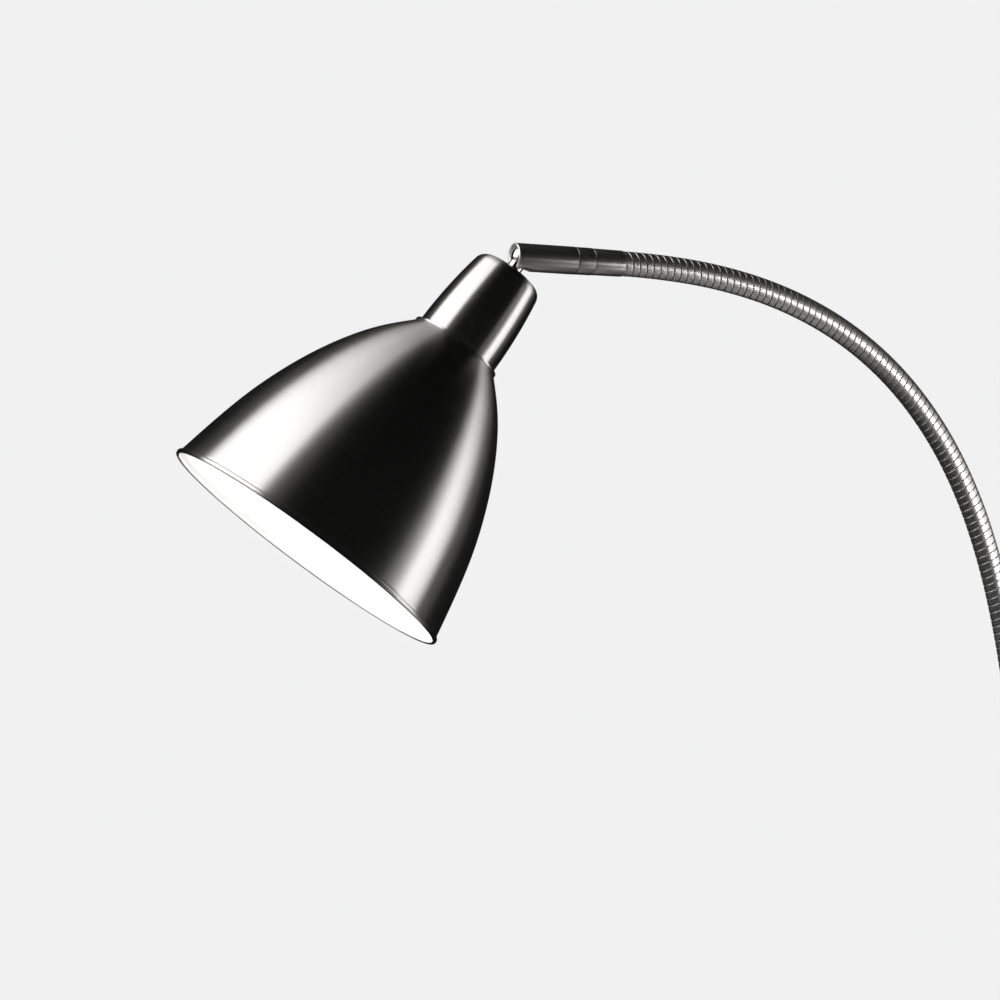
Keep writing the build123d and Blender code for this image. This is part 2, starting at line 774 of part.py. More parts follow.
with BuildPart() as holder_contact:
    with BuildSketch(across_shade.offset(holder_floor)):
        Circle(contact_r)
    extrude(amount=contact_t)
write(holder_contact, "holder_contact")

# Screwed ring that holds the bell up against the cap, with finger notches round its edge.
with BuildPart() as shade_ring:
    with BuildSketch(across_shade.offset(bell_under)):
        Circle(holder_r + shade_ring_rim)
        with PolarLocations(holder_r + shade_ring_rim, shade_ring_notches):
            Circle(shade_ring_notch_r, mode=Mode.SUBTRACT)
        Circle(holder_r + thread_clearance, mode=Mode.SUBTRACT)
    extrude(amount=shade_ring_h)
write(shade_ring, "shade_ring")

# ================================================================ bulb
with BuildPart() as bulb_contact:
    with BuildSketch(across_shade.offset(bulb_start)):
        Circle(bulb_contact_r)
    extrude(amount=bulb_contact_t)
write(bulb_contact, "bulb_contact")

bulb_cap_shoulder = bulb_cap_start + bulb_cap_chamfer
with BuildPart() as bulb_cap:
    with BuildSketch(shade_plane):
        with BuildLine():
            Polyline(
                (0, bulb_cap_start),
                (bulb_contact_r + 1.0, bulb_cap_start),
                (bulb_cap_r, bulb_cap_shoulder),
                (bulb_cap_r, bulb_cap_end),
                (bulb_cap_r - bulb_cap_wall, bulb_cap_end),
                (bulb_cap_r - bulb_cap_wall, bulb_cap_shoulder + bulb_cap_wall),
                (bulb_contact_r + 1.0, bulb_cap_start + 2 * bulb_cap_wall),
                (0, bulb_cap_start + 2 * bulb_cap_wall),
                close=True,
            )
        make_face()
    revolve(axis=shade_axis)
write(bulb_cap, "bulb_cap")

throat_end = bulb_cap_end + 2.0
throat_start = bulb_cap_end - glass_seat
inner_globe_r = bulb_r - glass_wall
flare_way = Vector(cos(radians(bulb_flare_side)), sin(radians(bulb_flare_side)))
with BuildPart() as bulb_glass:
    with BuildSketch(shade_plane):
        with BuildLine():
            throat = Line((bulb_neck_r, throat_start), (bulb_neck_r, throat_end))
            globe = ThreePointArc(
                round_point(bulb_r, bulb_centre, bulb_flare_side),
                (bulb_r, bulb_centre),
                round_point(bulb_r, bulb_centre, 180),
            )
            Spline(throat @ 1, globe @ 0, tangents=[(0, 1), flare_way])
            inner_throat = Line(
                (bulb_neck_r - glass_wall, throat_start),
                (bulb_neck_r - glass_wall, throat_end),
            )
            inner_globe = ThreePointArc(
                round_point(inner_globe_r, bulb_centre, bulb_flare_side),
                (inner_globe_r, bulb_centre),
                round_point(inner_globe_r, bulb_centre, 180),
            )
            Spline(inner_throat @ 1, inner_globe @ 0, tangents=[(0, 1), flare_way])
            Line(throat @ 0, inner_throat @ 0)
            Line(globe @ 1, inner_globe @ 1)
        make_face()
    revolve(axis=shade_axis)
write(bulb_glass, "bulb_glass")
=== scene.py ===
import json
import math

import bmesh
import bpy
from mathutils import Matrix, Vector

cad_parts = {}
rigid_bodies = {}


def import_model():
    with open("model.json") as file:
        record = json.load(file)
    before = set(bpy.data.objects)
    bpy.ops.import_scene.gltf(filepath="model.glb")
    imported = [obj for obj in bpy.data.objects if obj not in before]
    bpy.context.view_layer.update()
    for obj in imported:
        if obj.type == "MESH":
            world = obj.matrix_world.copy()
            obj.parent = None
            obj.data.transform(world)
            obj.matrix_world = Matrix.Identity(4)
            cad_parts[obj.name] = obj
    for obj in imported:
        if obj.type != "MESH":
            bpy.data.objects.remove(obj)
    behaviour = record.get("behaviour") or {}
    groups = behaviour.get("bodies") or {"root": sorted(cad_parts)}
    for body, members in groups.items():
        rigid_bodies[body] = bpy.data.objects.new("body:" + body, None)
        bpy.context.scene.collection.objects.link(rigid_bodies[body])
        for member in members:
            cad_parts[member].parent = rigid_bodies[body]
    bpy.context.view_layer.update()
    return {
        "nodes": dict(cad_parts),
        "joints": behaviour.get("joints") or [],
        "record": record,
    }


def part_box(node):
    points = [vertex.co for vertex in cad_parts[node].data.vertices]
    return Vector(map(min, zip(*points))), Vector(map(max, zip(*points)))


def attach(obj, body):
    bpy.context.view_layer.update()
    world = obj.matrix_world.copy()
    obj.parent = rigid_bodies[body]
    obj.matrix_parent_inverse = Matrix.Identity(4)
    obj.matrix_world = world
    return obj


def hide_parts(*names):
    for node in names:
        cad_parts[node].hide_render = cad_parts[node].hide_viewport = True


# Gooseneck reading floor lamp, dressed over its solids. Metres, +Z up, the neck reaches towards -X.

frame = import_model()
nodes = frame["nodes"]
joints = {joint["name"]: joint for joint in frame["joints"]}
record = frame["record"]

MM = 0.001
TURN_STEPS = 128  # sides of a turned piece
SHARP = math.radians(35)  # a dressed piece's edges that turn more than this stay sharp
SOLID_SHARP = math.radians(30)  # the same for the solids that are shown as they are
ON_AXIS = 1e-7  # a point nearer than this to its axis lies on it
ROUNDING = 1e-12  # room for rounding errors in a comparison

# ---------------------------------------------------------------- places read from the frame
neck_joints = [joint for joint in frame["joints"] if joint["name"].startswith("neck_")]
neck_joints.sort(key=lambda joint: joint["name"][-2:])
neck_pivots = [Vector(joint["pos_m"]) for joint in neck_joints]
neck_foot = Vector((0, 0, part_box("neck_link_01")[0].z))
tube_seat = Vector(joints["shade_swivel"]["pos_m"])
tube_way = Vector(joints["shade_swivel"]["axis"]).normalized()
ball_centre = Vector(joints["shade_tilt"]["pos_m"])
hinge_way = Vector(joints["shade_tilt"]["axis"]).normalized()
slot_way = hinge_way.cross(tube_way)
stem_tilt = math.radians(55.0)
stem_way = tube_way * math.cos(stem_tilt) + slot_way * math.sin(stem_tilt)
base_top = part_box("base_cover")[1].z
base_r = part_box("base_cover")[1].y
pole_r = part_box("pole_lower")[1].y
pole_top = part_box("pole_upper")[1].z

# ---------------------------------------------------------------- real sizes of the neck
hose_r = 6.5 * MM
hose_bore_r = 3.2 * MM
link_len = 40 * MM  # each of the twelve lengths, along its bend
RIBS_PER_LINK = 10
rib_pitch = link_len / RIBS_PER_LINK
groove_depth = 0.45 * MM
groove_floor = 0.06 * MM
groove_mouth = 0.24 * MM
rib_crown = 0.03 * MM

# ---------------------------------------------------------------- real sizes of the head
ferrule_len = 17.5 * MM
ring_len = 9.6 * MM
swivel_gap = 0.2 * MM
ferrule_r = 6.8 * MM
ferrule_head_r = 6.95 * MM
ring_r = 7.1 * MM
tube_r = 7.2 * MM
tube_bore_r = 6.3 * MM
tube_len = 34.0 * MM
ball_inset = 5.0 * MM
ball_r = 6.0 * MM
stem_r = 4.0 * MM
lip_bore_r = 5.35 * MM
cap_top = 10.0 * MM
seam = 57.8 * MM
bell_neck_r = 24.3 * MM
rim = 185.6 * MM
rim_r = 79.8 * MM


# ---------------------------------------------------------------- outlines
def corner(before, point, after, radius, steps=5):
    """Points of a rounded corner of an outline."""
    back = before - point
    on = after - point
    reach = min(radius, back.length * 0.5, on.length * 0.5)
    start = point + back.normalized() * reach
    end = point + on.normalized() * reach
    return [
        start * (1 - t) ** 2 + point * 2 * t * (1 - t) + end * t**2
        for t in (step / steps for step in range(steps + 1))
    ]


def rounded(points, closed=True):
    """Outline from (radius, station, corner rounding) points, with its corners rounded."""
    outline = []
    count = len(points)
    for index, (radius, station, rounding) in enumerate(points):
        here = Vector((radius, station))
        if rounding == 0 or (not closed and index in (0, count - 1)):
            outline.append(here)
            continue
        before = Vector(points[index - 1][:2])
        after = Vector(points[(index + 1) % count][:2])
        outline += corner(before, here, after, rounding)
    return outline


def smooth_curve(points, steps):
    """Points along the smooth curve through the given points, bending evenly, free at its ends."""
    knots = [0.0]
    for before, after in zip(points, points[1:]):
        knots.append(knots[-1] + (Vector(after) - Vector(before)).length)
    count = len(points)
    curves = []
    for axis in (0, 1):
        values = [point[axis] for point in points]
        bends = [0.0] * count
        lower = [0.0] * count
        right = [0.0] * count
        for i in range(1, count - 1):
            a = knots[i] - knots[i - 1]
            b = knots[i + 1] - knots[i]
            slope = 6 * ((values[i + 1] - values[i]) / b - (values[i] - values[i - 1]) / a)
            pivot = 2 * (a + b) - a * lower[i - 1]
            lower[i] = b / pivot
            right[i] = (slope - a * right[i - 1]) / pivot
        for i in range(count - 2, 0, -1):
            bends[i] = right[i] - lower[i] * bends[i + 1]
        curves.append((values, bends))
    outline = []
    for step in range(steps + 1):
        along = knots[-1] * step / steps
        i = max(k for k in range(count - 1) if knots[k] <= along + ROUNDING)
        width = knots[i + 1] - knots[i]
        a = (knots[i + 1] - along) / width
        b = 1 - a
        outline.append(
            Vector(
                [
                    a * values[i]
                    + b * values[i + 1]
                    + ((a**3 - a) * bends[i] + (b**3 - b) * bends[i + 1]) * width**2 / 6
                    for values, bends in curves
                ]
            )
        )
    return outline


def inset(outline, wall):
    """The outline moved inwards by a wall's thickness. It runs from the narrow end."""
    inner = []
    for index, point in enumerate(outline):
        before = outline[max(index - 1, 0)]
        after = outline[min(index + 1, len(outline) - 1)]
        way = (after - before).normalized()
        inner.append(point + Vector((-way.y, way.x)) * wall)
    return inner


# ---------------------------------------------------------------- making pieces
def turned(name, outline, seat, way, finishes, closed=True, bands=None, steps=TURN_STEPS):
    """Turned piece: its outline of (radius, station) points goes round the axis through seat.
    bands gives, for each stretch of outline, the number of the finish that it takes."""
    side = way.orthogonal().normalized()
    up = way.cross(side)
    mesh = bmesh.new()
    marks = mesh.loops.layers.uv.new("UVMap")
    travel = [0.0]
    ends = outline + outline[:1] if closed else outline
    for before, after in zip(ends, ends[1:]):
        travel.append(travel[-1] + (after - before).length)
    rings = []
    for point in outline:
        if point.x < ON_AXIS:
            rings.append([mesh.verts.new(seat + way * point.y)] * steps)
            continue
        ring = []
        for step in range(steps):
            angle = 2 * math.pi * step / steps
            out = side * math.cos(angle) + up * math.sin(angle)
            ring.append(mesh.verts.new(seat + way * point.y + out * point.x))
        rings.append(ring)
    if closed:
        rings.append(rings[0])
    for band, (low, high) in enumerate(zip(rings, rings[1:])):
        for step in range(steps):
            beside = (step + 1) % steps
            corners = [low[step], low[beside], high[beside], high[step]]
            places = [(band, step), (band, step + 1), (band + 1, step + 1), (band + 1, step)]
            kept = [k for k in range(4) if corners[k] not in corners[:k]]
            if len(kept) < 3:
                continue
            face = mesh.faces.new([corners[k] for k in kept])
            face.smooth = True
            face.material_index = bands[band] if bands else 0
            for loop, k in zip(face.loops, kept):
                loop[marks].uv = (travel[places[k][0]], places[k][1] / steps)
    bmesh.ops.recalc_face_normals(mesh, faces=mesh.faces)
    return finished(name, mesh, finishes)


def finished(name, mesh, finishes):
    """Object from an edited mesh, at the origin, with its finishes."""
    data = bpy.data.meshes.new(name)
    mesh.to_mesh(data)
    mesh.free()
    for finish in finishes:
        data.materials.append(finish)
    data.set_sharp_from_angle(angle=SHARP)
    piece = bpy.data.objects.new(name, data)
    bpy.context.scene.collection.objects.link(piece)
    return piece


def stands_for(piece, body, *solids):
    """The piece moves with its body and is shown instead of its solids."""
    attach(piece, body)
    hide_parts(*solids)


# ---------------------------------------------------------------- finishes
def new_finish(name):
    """Empty finish with its shader: (material, node tree, principled shader)."""
    material = bpy.data.materials.new(name)
    material.use_nodes = True
    return material, material.node_tree, material.node_tree.nodes["Principled BSDF"]


def plain(name, colour, roughness, metallic=0.0, coat=0.0):
    """Even finish with no pattern."""
    material, _, shader = new_finish(name)
    shader.inputs["Base Color"].default_value = (*colour, 1)
    shader.inputs["Roughness"].default_value = roughness
    shader.inputs["Metallic"].default_value = metallic
    shader.inputs["Coat Weight"].default_value = coat
    return material


GRAIN_LOW = 0.25  # the part of the grain's pattern that the finish follows
GRAIN_HIGH = 0.75
BRUSH_CONTRAST = 0.12
BRUSH_ROUGHNESS_SPREAD = 0.15
BRUSH_RELIEF = 0.06
BRUSH_DEPTH = 0.05 * MM


def brushed(name, colour, roughness, stretch, line_mm=0.22):
    """Steel brushed round its axis: fine lines round the piece, highlights drawn out along it."""
    material, tree, shader = new_finish(name)
    new = tree.nodes.new
    link = tree.links.new

    def times(source, factor):
        node = new("ShaderNodeMath")
        node.operation = "MULTIPLY"
        node.inputs[1].default_value = factor
        link(source, node.inputs[0])
        return node.outputs[0]

    def spread(source, middle, share):
        """The grain turned into values that lie up to this share below and above the middle."""
        node = new("ShaderNodeMapRange")
        node.inputs["From Min"].default_value = GRAIN_LOW
        node.inputs["From Max"].default_value = GRAIN_HIGH
        node.inputs["To Min"].default_value = middle * (1 - share)
        node.inputs["To Max"].default_value = middle * (1 + share)
        link(source, node.inputs["Value"])
        return node.outputs[0]

    marks = new("ShaderNodeUVMap")
    marks.uv_map = "UVMap"
    split = new("ShaderNodeSeparateXYZ")
    link(marks.outputs["UV"], split.inputs[0])
    round_lines = new("ShaderNodeCombineXYZ")
    link(times(split.outputs["X"], 1 / (line_mm * MM)), round_lines.inputs["X"])
    angle = times(split.outputs["Y"], 2 * math.pi)
    for operation, socket in (("COSINE", "Y"), ("SINE", "Z")):
        wave = new("ShaderNodeMath")
        wave.operation = operation
        link(angle, wave.inputs[0])
        link(wave.outputs[0], round_lines.inputs[socket])

    pattern = new("ShaderNodeTexNoise")
    pattern.inputs["Scale"].default_value = 1.0
    pattern.inputs["Detail"].default_value = 4.0
    pattern.inputs["Roughness"].default_value = 0.65
    link(round_lines.outputs[0], pattern.inputs["Vector"])
    grain = pattern.outputs["Fac"]

    shade = new("ShaderNodeVectorMath")
    shade.operation = "SCALE"
    shade.inputs[0].default_value = colour
    link(spread(grain, 1, BRUSH_CONTRAST), shade.inputs["Scale"])
    link(shade.outputs[0], shader.inputs["Base Color"])
    link(spread(grain, roughness, BRUSH_ROUGHNESS_SPREAD), shader.inputs["Roughness"])

    relief = new("ShaderNodeBump")
    relief.inputs["Strength"].default_value = BRUSH_RELIEF
    relief.inputs["Distance"].default_value = BRUSH_DEPTH
    link(grain, relief.inputs["Height"])
    link(relief.outputs[0], shader.inputs["Normal"])

    along = new("ShaderNodeTangent")
    along.direction_type = "UV_MAP"
    along.uv_map = "UVMap"
    link(along.outputs[0], shader.inputs["Tangent"])
    shader.inputs["Metallic"].default_value = 1.0
    shader.inputs["Anisotropic"].default_value = stretch
    return material


STEEL = (0.60, 0.59, 0.575)
FERRULE_STEEL = (0.5, 0.49, 0.475)
# A darker copy of the steel, for the tube and its turning ring: painted shade.
STEEL_DARKENED_FOR_PAINTED_SHADE = (0.40, 0.392, 0.38)
BULB_LIGHT = (1.0, 0.985, 0.96)
BULB_STRENGTH = 6.0
shade_steel = brushed("shade steel", STEEL, roughness=0.34, stretch=0.97)
ferrule_steel = brushed("ferrule steel", FERRULE_STEEL, roughness=0.34, stretch=0.4, line_mm=0.15)
tube_steel_painted_shade = brushed("tube steel with painted shade", STEEL_DARKENED_FOR_PAINTED_SHADE, roughness=0.34, stretch=0.4, line_mm=0.15)
pole_steel = brushed("pole steel", STEEL, roughness=0.38, stretch=0.6, line_mm=0.3)
neck_steel = plain("neck steel", STEEL, roughness=0.4, metallic=1.0)
bright_steel = plain("bright steel", (0.80, 0.79, 0.77), roughness=0.12, metallic=1.0)
# The lip's near-white colour is a painted reflection of bright surroundings on the polished lip.
lip_steel_painted_reflection = plain("lip steel with painted reflection", (0.95, 0.94, 0.93), roughness=0.4, metallic=1.0)
zinc_steel = plain("zinc steel", (0.62, 0.62, 0.63), roughness=0.3, metallic=1.0)
white_enamel = plain("white enamel", (0.86, 0.86, 0.86), roughness=0.25, coat=0.3)
black_plastic = plain("black plastic", (0.02, 0.02, 0.02), roughness=0.45)
seat_plastic = plain("seat plastic", (0.78, 0.77, 0.72), roughness=0.5)
foot_foam = plain("foot foam", (0.03, 0.03, 0.03), roughness=0.9)
bare_iron = plain("bare iron", (0.05, 0.05, 0.05), roughness=0.7, metallic=0.6)
plain_brass = plain("plain brass", (0.72, 0.55, 0.26), roughness=0.25, metallic=1.0)
cap_aluminium = plain("bulb cap aluminium", (0.8, 0.8, 0.8), roughness=0.3, metallic=1.0)
flag_black = plain("flag black", (0.002, 0.002, 0.002), roughness=1.0)
lit_glass = plain("lit bulb glass", (0.97, 0.95, 0.92), roughness=0.35)
lit_shader = lit_glass.node_tree.nodes["Principled BSDF"]
lit_shader.inputs["Emission Color"].default_value = (*BULB_LIGHT, 1)
lit_shader.inputs["Emission Strength"].default_value = BULB_STRENGTH

# ---------------------------------------------------------------- shade
bell_wall = 1.0 * MM
bell_under = seam + 1.2 * MM
bead_r = bell_neck_r + 0.6 * MM
bead_rounding = 0.35 * MM
flange_r = 17.9 * MM
# The bell's flared side: radius in millimetres, and share of the way from its neck to the rim.
BELL_SIDE_MARKS = [(38.0, 0.12), (47.3, 0.227), (55.7, 0.349), (63.2, 0.486), (69.7, 0.638), (75.3, 0.82)]
bell_marks = [(r * MM, bell_under + share * (rim - bell_under)) for r, share in BELL_SIDE_MARKS]
bell_side = smooth_curve([(bell_neck_r, bell_under), *bell_marks, (rim_r, rim)], steps=96)
hem_r = 1.0 * MM
hem_half_h = 1.3 * MM
hem_shift = hem_half_h - hem_r
hem_top = rim - hem_half_h
lining_end = hem_top + 0.6 * MM
bell_side = [point for point in bell_side if point.y < hem_top]
lining = inset(bell_side, bell_wall)
bead = rounded(
    [
        (flange_r, seam, 0),
        (bead_r, seam, bead_rounding),
        (bead_r, bell_under, bead_rounding),
        (bell_neck_r, bell_under, 0),
    ],
    closed=False,
)


def hem_point(degrees):
    """Point of the rolled hem: 0 degrees at its top, 90 at its widest, 180 at its foot."""
    turn = math.radians(degrees)
    shift = -hem_shift if degrees < 90 else hem_shift
    return Vector((rim_r + hem_r * math.sin(turn), rim + shift - hem_r * math.cos(turn)))


hem = [hem_point(degrees) for degrees in range(-20, 271, 18)]
outside = bead + bell_side[1:] + hem
inside = [Vector((rim_r - hem_r, lining_end))] + lining[::-1][:-1]
inside += [Vector((lining[0].x, bell_under)), Vector((flange_r, bell_under))]
bell_outline = outside + inside
SHADE_FINISHES = [shade_steel, white_enamel]
OUTER_STEEL = 0
ENAMEL = 1
hem_enamel_points = 3  # the hem's last points face inwards and are white too
enamel_from = len(outside) - hem_enamel_points
bell_bands = [OUTER_STEEL if index < enamel_from else ENAMEL for index in range(len(bell_outline))]
bell_bands[-1] = OUTER_STEEL  # the flange's edge
bell = turned(
    "bell",
    bell_outline,
    ball_centre,
    stem_way,
    SHADE_FINISHES,
    bands=bell_bands,
    steps=192,
)
stands_for(bell, "head", "shade_bell")

cap_wall = 1.0 * MM
cap_top_r = 13.5 * MM
cap_shoulder_r = 5.7 * MM
cap_shoulder_turn = math.radians(80.0)
cap_edge_r = bell_neck_r - 1.5 * MM
cap_side_pull = 14.0 * MM
cap_skirt_pull = 14.0 * MM
stem_hole_r = stem_r + 0.02 * MM


def shoulder(radius, top, steps=12):
    """Round shoulder of the cap, from its flat top outwards."""
    points = []
    for step in range(steps + 1):
        turn = cap_shoulder_turn * step / steps
        points.append(
            Vector((cap_top_r + radius * math.sin(turn), top + radius * (1 - math.cos(turn))))
        )
    return points


def bezier(a, b, c, d, steps=40):
    """Points of a Bezier curve, both ends included."""
    return [
        a * (1 - t) ** 3 + b * 3 * t * (1 - t) ** 2 + c * 3 * t**2 * (1 - t) + d * t**3
        for t in (step / steps for step in range(steps + 1))
    ]


cap_shoulder = shoulder(cap_shoulder_r, cap_top)
shoulder_way = Vector((math.cos(cap_shoulder_turn), math.sin(cap_shoulder_turn)))
cap_side = bezier(
    cap_shoulder[-1],
    cap_shoulder[-1] + shoulder_way * cap_side_pull,
    Vector((cap_edge_r, seam - cap_skirt_pull)),
    Vector((cap_edge_r, seam)),
)
cap_outside = cap_shoulder + cap_side[1:]
cap_lining = inset(cap_outside, cap_wall)
cap_lining[0] = Vector((cap_top_r, cap_top + cap_wall))
cap_outline = (
    [Vector((stem_hole_r, cap_top))]
    + cap_outside
    + cap_lining[::-1]
    + [Vector((stem_hole_r, cap_top + cap_wall))]
)
cap = turned("cap", cap_outline, ball_centre, stem_way, [shade_steel])
stands_for(cap, "head", "shade_cap")

# ---------------------------------------------------------------- ball and stem
ball_steps = 24
stem_bore_r = 2.3 * MM
stem_end = cap_top + 15.0 * MM
shoulder_r = stem_r + 2.2 * MM
shoulder_h = 1.6 * MM
shoulder_rounding = 0.4 * MM
ball_from = math.asin(stem_bore_r / ball_r)
ball_to = math.pi - math.asin(stem_r / ball_r)
ball_outline = [
    Vector((ball_r * math.sin(a), -ball_r * math.cos(a)))
    for a in (ball_from + (ball_to - ball_from) * s / ball_steps for s in range(ball_steps + 1))
]
ball_outline += rounded(
    [
        (stem_r, cap_top - shoulder_h, 0),
        (shoulder_r, cap_top - shoulder_h, shoulder_rounding),
        (shoulder_r, cap_top, 0),
        (stem_r, cap_top, 0),
        (stem_r, stem_end, 0),
        (stem_bore_r, stem_end, 0),
    ],
    closed=False,
)
ball = turned("ball_and_stem", ball_outline, ball_centre, stem_way, [bright_steel], steps=64)
stands_for(ball, "head", "ball_stem")

# ---------------------------------------------------------------- ferrule, ring and slotted tube
neck_end = tube_seat - tube_way * (ferrule_len + ring_len + swivel_gap)
ring_bore_r = 4.0 * MM
ferrule_rounding = 0.3 * MM
head_rounding = 0.45 * MM  # edges that the ferrule and the ring turn to each other
tube_rounding = 0.35 * MM  # edges that the ring and the tube turn to each other
ferrule = turned(
    "ferrule",
    rounded(
        [
            (hose_bore_r, 0, 0),
            (ferrule_r, 0, ferrule_rounding),
            (ferrule_head_r, ferrule_len, head_rounding),
            (hose_bore_r, ferrule_len, 0),
        ]
    ),
    neck_end,
    tube_way,
    [ferrule_steel],
)
stands_for(ferrule, "neck_12", "neck_ferrule")
ring = turned(
    "turning_ring",
    rounded(
        [
            (ring_bore_r, ferrule_len, 0),
            (ring_r, ferrule_len, head_rounding),
            (ring_r, ferrule_len + ring_len, tube_rounding),
            (ring_bore_r, ferrule_len + ring_len, 0),
        ]
    ),
    neck_end,
    tube_way,
    [tube_steel_painted_shade],
)
stands_for(ring, "neck_12", "swivel_ring")

stud_hole_r = 4.06 * MM
tube_floor = 3.0 * MM
lip_rounding = 0.65 * MM
lip_bore_rounding = 1.4 * MM
lip_depth = 2.2 * MM
lip_slope_end = 3.4 * MM
tube_outline = rounded(
    [
        (stud_hole_r, 0, 0),
        (tube_r, 0, tube_rounding),
        (tube_r, tube_len, lip_rounding),
        (lip_bore_r, tube_len, lip_bore_rounding),
        (lip_bore_r, tube_len - lip_depth, 0),
        (tube_bore_r, tube_len - lip_slope_end, 0),
        (tube_bore_r, tube_floor, 0),
        (stud_hole_r, tube_floor, 0),
    ]
)
TUBE_FINISHES = [tube_steel_painted_shade, lip_steel_painted_reflection]
TUBE_SIDE = 0
TUBE_LIP = 1
lip_edge_r = tube_r - 0.7 * MM
lip_from_outside = tube_len - 0.66 * MM
lip_from_inside = tube_len - 2.3 * MM


def tube_band(start, end):
    """Finish of a stretch of the tube's outline: its side, or the lip, whose brighter colour is a painted
    reflection.
    """
    lip_from = lip_from_outside if start.x > lip_edge_r else lip_from_inside
    return TUBE_LIP if min(start.y, end.y) > lip_from else TUBE_SIDE


tube_bands = [tube_band(start, end) for start, end in zip(tube_outline, tube_outline[1:])]
tube_bands.append(TUBE_SIDE)
tube = turned("slotted_tube", tube_outline, tube_seat, tube_way, TUBE_FINISHES, bands=tube_bands)
slot_half_w = stem_r + 0.4 * MM
SLOT_STEPS = 32  # of the half circle round the ball


def slot_cutter():
    """Block that cuts the tube's slot: a half circle round the ball, then out of the open end."""
    outline = []
    for step in range(SLOT_STEPS + 1):
        turn = math.pi / 2 + math.pi * step / SLOT_STEPS
        outline.append((math.cos(turn) * slot_half_w, math.sin(turn) * slot_half_w))
    outline += [(2 * ball_inset, -slot_half_w), (2 * ball_inset, slot_half_w)]
    block = bmesh.new()
    sides = []
    for depth in (0.0, 2 * tube_r):
        sides.append(
            [
                block.verts.new(ball_centre + tube_way * along + hinge_way * across + slot_way * depth)
                for along, across in outline
            ]
        )
    inner, outer = sides
    block.faces.new(inner)
    block.faces.new(outer[::-1])
    for here in range(len(outline)):
        after = (here + 1) % len(outline)
        block.faces.new([inner[here], outer[here], outer[after], inner[after]])
    bmesh.ops.recalc_face_normals(block, faces=block.faces)
    return finished("slot cutter", block, [tube_steel_painted_shade])


cutter = slot_cutter()
cut = tube.modifiers.new("slot", "BOOLEAN")
cut.operation = "DIFFERENCE"
cut.solver = "EXACT"
cut.object = cutter
slotted = bpy.data.meshes.new_from_object(
    tube.evaluated_get(bpy.context.evaluated_depsgraph_get())
)
tube.modifiers.remove(cut)
tube.data = slotted
tube.data.set_sharp_from_angle(angle=SHARP)
bpy.data.objects.remove(cutter)
stands_for(tube, "tube", "joint_tube")


# ---------------------------------------------------------------- gooseneck
def neck_leans():
    """Lean from upright, in radians, at the pole, at each joint and at the head."""
    points = [neck_foot] + neck_pivots + [neck_end]
    leans = [0.0]
    for before, after in zip(points, points[1:]):
        chord = math.atan2(before.x - after.x, after.z - before.z)
        leans.append(2 * chord - leans[-1])
    return points, leans


def neck_path(step=1.0 * MM):
    """Centre line of the neck, as a curve object that isn't shown."""
    points, leans = neck_leans()
    line = []
    for start, lean, end_lean in zip(points, leans, leans[1:]):
        bend = end_lean - lean
        bend_r = link_len / bend
        ahead = Vector((-math.sin(lean), 0, math.cos(lean)))
        inward = Vector((-math.cos(lean), 0, -math.sin(lean)))
        parts = round(link_len / step)
        for part in range(parts):
            turn = bend * part / parts
            sideways = inward * bend_r * (1 - math.cos(turn))
            line.append(start + ahead * bend_r * math.sin(turn) + sideways)
    line.append(points[-1])
    curve = bpy.data.curves.new("neck path", "CURVE")
    curve.dimensions = "3D"
    strand = curve.splines.new("POLY")
    strand.points.add(len(line) - 1)
    for point, place in zip(strand.points, line):
        point.co = (*place, 1)
    path = bpy.data.objects.new("neck path", curve)
    bpy.context.scene.collection.objects.link(path)
    return path, line


class Tree:
    """Short calls for building a geometry node tree."""

    def __init__(self, name):
        self.tree = bpy.data.node_groups.new(name, "GeometryNodeTree")
        self.ids = {}

    def input(self, label, kind):
        socket = self.tree.interface.new_socket(label, in_out="INPUT", socket_type=kind)
        self.ids[label] = socket.identifier

    def node(self, kind, **settings):
        node = self.tree.nodes.new(kind)
        for key, value in settings.items():
            setattr(node, key, value)
        return node

    def join(self, source, target):
        self.tree.links.new(source, target)

    def feed(self, socket, value):
        if isinstance(value, bpy.types.NodeSocket):
            self.join(value, socket)
        else:
            socket.default_value = value

    def math(self, operation, *values):
        node = self.node("ShaderNodeMath", operation=operation)
        for socket, value in zip(node.inputs, values):
            self.feed(socket, value)
        return node.outputs[0]

    def vector(self, operation, *values, scale=None):
        node = self.node("ShaderNodeVectorMath", operation=operation)
        for socket, value in zip(node.inputs, values):
            self.feed(socket, value)
        if scale is not None:
            self.feed(node.inputs["Scale"], scale)
        return node.outputs[0]

    def ramp(self, value, low, high, to_low, to_high):
        """Smooth rise from to_low to to_high while the value goes from low to high."""
        node = self.node("ShaderNodeMapRange", interpolation_type="SMOOTHSTEP")
        for label, number in (
            ("Value", value),
            ("From Min", low),
            ("From Max", high),
            ("To Min", to_low),
            ("To Max", to_high),
        ):
            self.feed(node.inputs[label], number)
        return node.outputs[0]


STATIONS_PER_RIB = 12
NECK_STARTS = 2  # strips wound side by side
NECK_SIDES = 96
CROWDING = 0.8  # 0 would space the rows evenly, 1 would let them meet in the grooves
WHOLE_RIBS = 10.0  # added before the ribs fold onto one, so that their count is above zero
CROWN_SPAN = 3.2  # the crown is full this many groove mouths away from a groove
WELD = 2e-6


